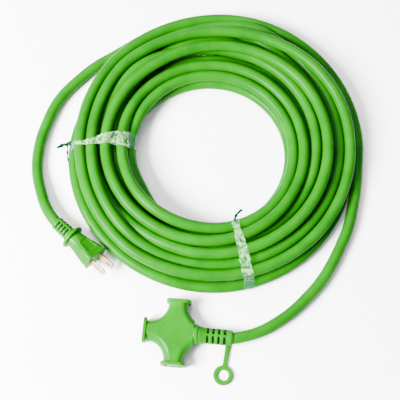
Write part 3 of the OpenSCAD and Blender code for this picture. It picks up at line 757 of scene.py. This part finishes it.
# --- Film ties: each follows the turns it is wrapped round, sizes in metres ----------------------
SECTION_R, SECTION_Z = 0.1105, 0.0149       # middle of the coil's section, about which a tie runs
FILM_PLACES = 260                           # places along a tie
FILM_COLUMNS = 21                           # places across it
FILM_SAG = 0.0012                           # deepest sag between two turns
FILM_SHELL = 0.00016                        # thickness of the drawn film
FILM_FOLD = 0.00035                         # depth of its creases


def hull(points):
    """Convex outline of points in a plane."""
    rows = sorted(map(tuple, points))

    def half(rows):
        line = []
        for p in rows:
            while len(line) > 1 and ((line[-1][0] - line[-2][0]) * (p[1] - line[-2][1])
                                     <= (line[-1][1] - line[-2][1]) * (p[0] - line[-2][0])):
                line.pop()
            line.append(p)
        return line[:-1]
    return np.array(half(rows) + half(rows[::-1]))


def section_outline(turn_r, turn_z, live, degrees, around):
    """Distance from the section's middle to a film pulled round the turns, in each direction."""
    at = np.arange(len(TURNS)) * STEPS + degrees % 360 / 360 * STEPS
    at = at[at <= live.sum() - 1]
    r = np.interp(at, np.arange(live.size), turn_r.ravel())
    z = np.interp(at, np.arange(live.size), turn_z.ravel())
    t = np.arange(40) * 2 * math.pi / 40
    reach = CORD_R + FILM_T / 2
    cloud = np.stack([(r[:, None] + reach * np.cos(t)).ravel(),
                      (z[:, None] + reach * np.sin(t)).ravel()], -1)
    outline = hull(cloud)
    outline = np.concatenate([outline, outline[:1]])
    share = np.linspace(0, 1, 24, endpoint=False)[None, :, None]
    dense = (outline[:-1, None] + (outline[1:, None] - outline[:-1, None]) * share).reshape(-1, 2)
    # Between two turns the film sags a little way into the gap
    gap = np.sqrt(((dense[:, None] - np.stack([r, z], -1)[None]) ** 2).sum(-1)).min(1) - reach
    inward = np.array([SECTION_R, SECTION_Z]) - dense
    inward /= np.linalg.norm(inward, axis=1)[:, None]
    dense = dense + inward * np.minimum(gap * 0.5, FILM_SAG)[:, None]
    away = dense - (SECTION_R, SECTION_Z)
    angle = np.arctan2(away[:, 1], away[:, 0])
    order = np.argsort(angle)
    return np.interp(around, angle[order], np.hypot(*away.T)[order], period=2 * math.pi)


def reach_at(reaches, columns, turn, i):
    """Distance of a tie from the section's middle, between the columns where it is known."""
    return float(np.interp(turn, columns, reaches[:, i]))


def film_tie(name, settled, degrees, knot, widths, shifts, node):
    """Band once round the coil's section at degrees.

    knot is the direction of its knot about the section. widths and shifts are its half widths and
    sideways places in millimetres, at shares of the way round from the knot.
    """
    turn_r, turn_z, live = settled
    around = np.linspace(0, 2 * math.pi, 721)
    middle = section_outline(turn_r, turn_z, live, degrees, around)
    x, y = middle * np.cos(around), middle * np.sin(around)
    run = np.concatenate([[0], np.cumsum(np.hypot(np.diff(x), np.diff(y)))])
    start = np.interp(math.radians(knot) % (2 * math.pi), around, run)
    way = np.arange(FILM_PLACES) / FILM_PLACES
    phi = np.interp((start + way * run[-1]) % run[-1], run, around)
    columns = np.linspace(-9, 9, 9)
    reaches = np.array([section_outline(turn_r, turn_z, live, degrees + c, phi) for c in columns])
    across = np.linspace(-1, 1, FILM_COLUMNS)
    half = np.interp(way, *zip(*widths)) * MM
    half = half * (1 + 0.05 * np.sin(way * 71) + 0.03 * np.sin(way * 173 + 1))
    shift = np.interp(way, *zip(*shifts)) * MM
    verts = []
    for i in range(FILM_PLACES):
        fold = FILM_FOLD * (1 - 0.6 * abs(2 * way[i] - 1))
        for v in across:
            side = v * half[i] + shift[i] + 0.3 * MM * math.sin(31 * way[i])
            base_r = SECTION_R + reach_at(reaches, columns, 0, i) * math.cos(phi[i])
            turn = math.degrees(side / base_r)
            crease = 1 + math.sin(9 * v + 2.2 * math.sin(23 * way[i]) + 0.7 * degrees)
            crumple = 1 + math.sin(83 * way[i] + 3 * v + math.sin(37 * way[i] - 5 * v))
            reach = reach_at(reaches, columns, turn, i) + fold * (0.35 * crease + 0.3 * crumple)
            r = SECTION_R + reach * math.cos(phi[i])
            a = math.radians(degrees + turn)
            z = max(SECTION_Z + reach * math.sin(phi[i]), FILM_T / 2)
            verts.append((COIL_X + r * math.cos(a), COIL_Y + r * math.sin(a), z))
    faces = []
    for i in range(FILM_PLACES):
        near, far = i * FILM_COLUMNS, (i + 1) % FILM_PLACES * FILM_COLUMNS
        faces += [(near + j, near + j + 1, far + j + 1, far + j) for j in range(FILM_COLUMNS - 1)]
    band = mesh_piece(name, verts, faces, FILM)
    shell = band.modifiers.new("film", "SOLIDIFY")
    shell.thickness = FILM_SHELL
    shell.offset = 1
    keep_modified(band)
    band.data.shade_smooth()
    return finished(band, "tie_film", "cord_set", node)


def strand(name, route, start_r, end_r, twists, flat=0.45):
    """Twisted end of a tie: a flattened strand along a route in millimetres."""
    keys = np.array(route, dtype=float)
    places = eased(keys, np.linspace(0, len(keys) - 1, 14 * (len(keys) - 1) + 1))
    rings = []
    for i, p in enumerate(places):
        share = i / (len(places) - 1)
        ahead = places[min(i + 1, len(places) - 1)] - places[max(i - 1, 0)]
        ahead /= np.linalg.norm(ahead)
        side = np.cross(ahead, (0, 0, 1))
        side /= np.linalg.norm(side)
        up = np.cross(side, ahead)
        r = (start_r + (end_r - start_r) * share) * (1 + 0.12 * math.sin(23 * share))
        t = twists * 2 * math.pi * share
        ring = []
        for k in range(14):
            a = 2 * math.pi * k / 14
            u, w = r * math.cos(a), r * flat * math.sin(a) * (1 + 0.3 * math.cos(3 * a))
            ring.append(p + (u * math.cos(t) - w * math.sin(t)) * side
                        + (u * math.sin(t) + w * math.cos(t)) * up)
        rings.append(ring)
    return loft(name, rings, TWIST)


# --- Cord ---------------------------------------------------------------------------------------
def cord_curve(settled):
    """One round curve from inside the tap, through every turn, to inside the plug."""
    turn_r, turn_z, live = settled
    angle = np.tile(np.arange(STEPS) * 2 * math.pi / STEPS, (len(TURNS), 1))
    coil = np.stack([COIL_X + turn_r * np.cos(angle), COIL_Y + turn_r * np.sin(angle), turn_z], -1)
    coil = coil[live]
    route = [tuple(c * MM for c in p) for p in TAP_ROUTE] + [tuple(p) for p in coil]
    route += [tuple(c * MM for c in p) for p in PLUG_ROUTE]
    data = bpy.data.curves.new("cord", "CURVE")
    data.dimensions = "3D"
    data.bevel_depth = CORD_R
    data.bevel_resolution = 6
    data.resolution_u = 4
    data.use_fill_caps = True
    line = data.splines.new("BEZIER")
    line.bezier_points.add(len(route) - 1)
    for point, spot in zip(line.bezier_points, route):
        point.co = spot
        point.handle_left_type = point.handle_right_type = "AUTO"
    return new_object("cord", data, SHEATH)


SETTLED = settled_turns()
cord = cord_curve(SETTLED)
finished(cord, "cord_sheath", "cord_set", "cord_tap_tail", "cord_coil", "cord_plug_tail")

tie_left = film_tie("film_band_left", SETTLED, 185.2, 40,
                    [(0, 1.6), (0.06, 3.0), (0.14, 5.4), (0.22, 7.6), (0.34, 8.8), (0.46, 8.8),
                     (0.6, 7), (0.8, 6), (0.93, 3.5), (1, 1.6)],
                    [(0, 5.5), (0.06, 4.2), (0.14, 1.5), (0.22, 0), (0.5, 0), (0.8, 2), (1, 5.5)],
                    "film_tie_left")
tie_front = film_tie("film_band_front", SETTLED, 288.7, 140,
                     [(0, 2.6), (0.04, 4.2), (0.1, 4.3), (0.3, 4.6), (0.42, 5.2), (0.55, 5.4),
                      (0.8, 5), (0.96, 4), (1, 2.6)],
                     [(0, 0), (1, 0)], "film_tie_front")
twist_left = strand("film_twist_left",
                    [(-121.0, 173.4, 26.0), (-126.5, 171.0, 26.6), (-130.2, 169, 27.4),
                     (-133.4, 166.2, 27.8)], 2.2, 1.7, 0.9, 0.6)
tail_left = strand("film_tail_left",
                   [(-124.6, 171.6, 25.4), (-124.2, 165, 21.8), (-122.9, 158, 20.8),
                    (-120.2, 150, 20.8)], 1.2, 0.6, 1.5, 0.5)
twist_front = strand("film_twist_front",
                     [(45.2, 108.8, 25.6), (45.6, 113, 26.6), (46.8, 116, 26.8),
                      (49.2, 119, 26.4), (51.2, 121.5, 26)], 1.7, 1.3, 1.2, 0.6)
for piece in (twist_left, tail_left, twist_front):
    finished(piece, "tie_film", "cord_set")

# --- Parts inside, which keep their CAD shape ---------------------------------------------------
# Material of the nodes whose names start with a word; the longest word that fits is the one used
INNER = {"core": IVORY, "plug_bridge": IVORY, "busbar": BRASS, "contact_rivets": RIVET,
         "contact": BRONZE, "tap_wire_black": BLACK, "plug_wire_black": BLACK,
         "tap_wire_white": WHITE, "plug_wire_white": WHITE, "tap_copper": COPPER,
         "plug_copper": COPPER}
for name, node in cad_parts.items():
    match = [key for key in INNER if name.startswith(key)]
    if match:
        node.data.materials.clear()
        node.data.materials.append(INNER[max(match, key=len)])

# --- Floor, light and camera --------------------------------------------------------------------
FLOOR_HALF = 3.0
LIGHTS_AIM = (0.02, 0.13, 0)
EYE, LOOK_AT = (0.0369, -0.1491, 0.8797), (0.0095, 0.1354, 0)
LENS_MM, SENSOR_MM = 84.1, 36
SKY = 0.8
floor_material, _, floor_links, floor_shader = new_material("floor", 0.55, Specular_IOR_Level=0.2)
floor_tint = ramp(floor_material, noise(floor_material, 3, 2),
                  [(0.3, (0.83, 0.85, 0.84)), (0.7, (0.9, 0.9, 0.9))])
floor_links.new(floor_tint, floor_shader.inputs["Base Color"])
floor = mesh_piece("floor", [(x * FLOOR_HALF, y * FLOOR_HALF, 0)
                             for x, y in ((-1, -1), (1, -1), (1, 1), (-1, 1))],
                   [(0, 1, 2, 3)], floor_material)


def aimed(o, spot, target):
    """Puts an object at spot, looking at target."""
    bpy.context.scene.collection.objects.link(o)
    o.location = spot
    o.rotation_mode = "QUATERNION"
    o.rotation_quaternion = (Vector(target) - Vector(spot)).to_track_quat("-Z", "Y")


def area(name, spot, size, power):
    """Square lamp; size in metres, power in watts."""
    light = bpy.data.lights.new(name, "AREA")
    light.size = size
    light.energy = power
    aimed(bpy.data.objects.new(name, light), spot, LIGHTS_AIM)


area("key", (-1.05, -0.45, 1.1), 0.7, 385)
area("fill", (-0.4, 0.9, 1.4), 1.2, 45)
world = bpy.data.worlds.new("world")
bpy.context.scene.world = world
world.use_nodes = True
sky = world.node_tree.nodes["Background"]
sky.inputs["Color"].default_value = (1, 1, 1, 1)
sky.inputs["Strength"].default_value = SKY

camera = bpy.data.cameras.new("camera")
camera.lens = LENS_MM
camera.sensor_width = SENSOR_MM
eye = bpy.data.objects.new("camera", camera)
aimed(eye, EYE, LOOK_AT)
bpy.context.scene.camera = eye
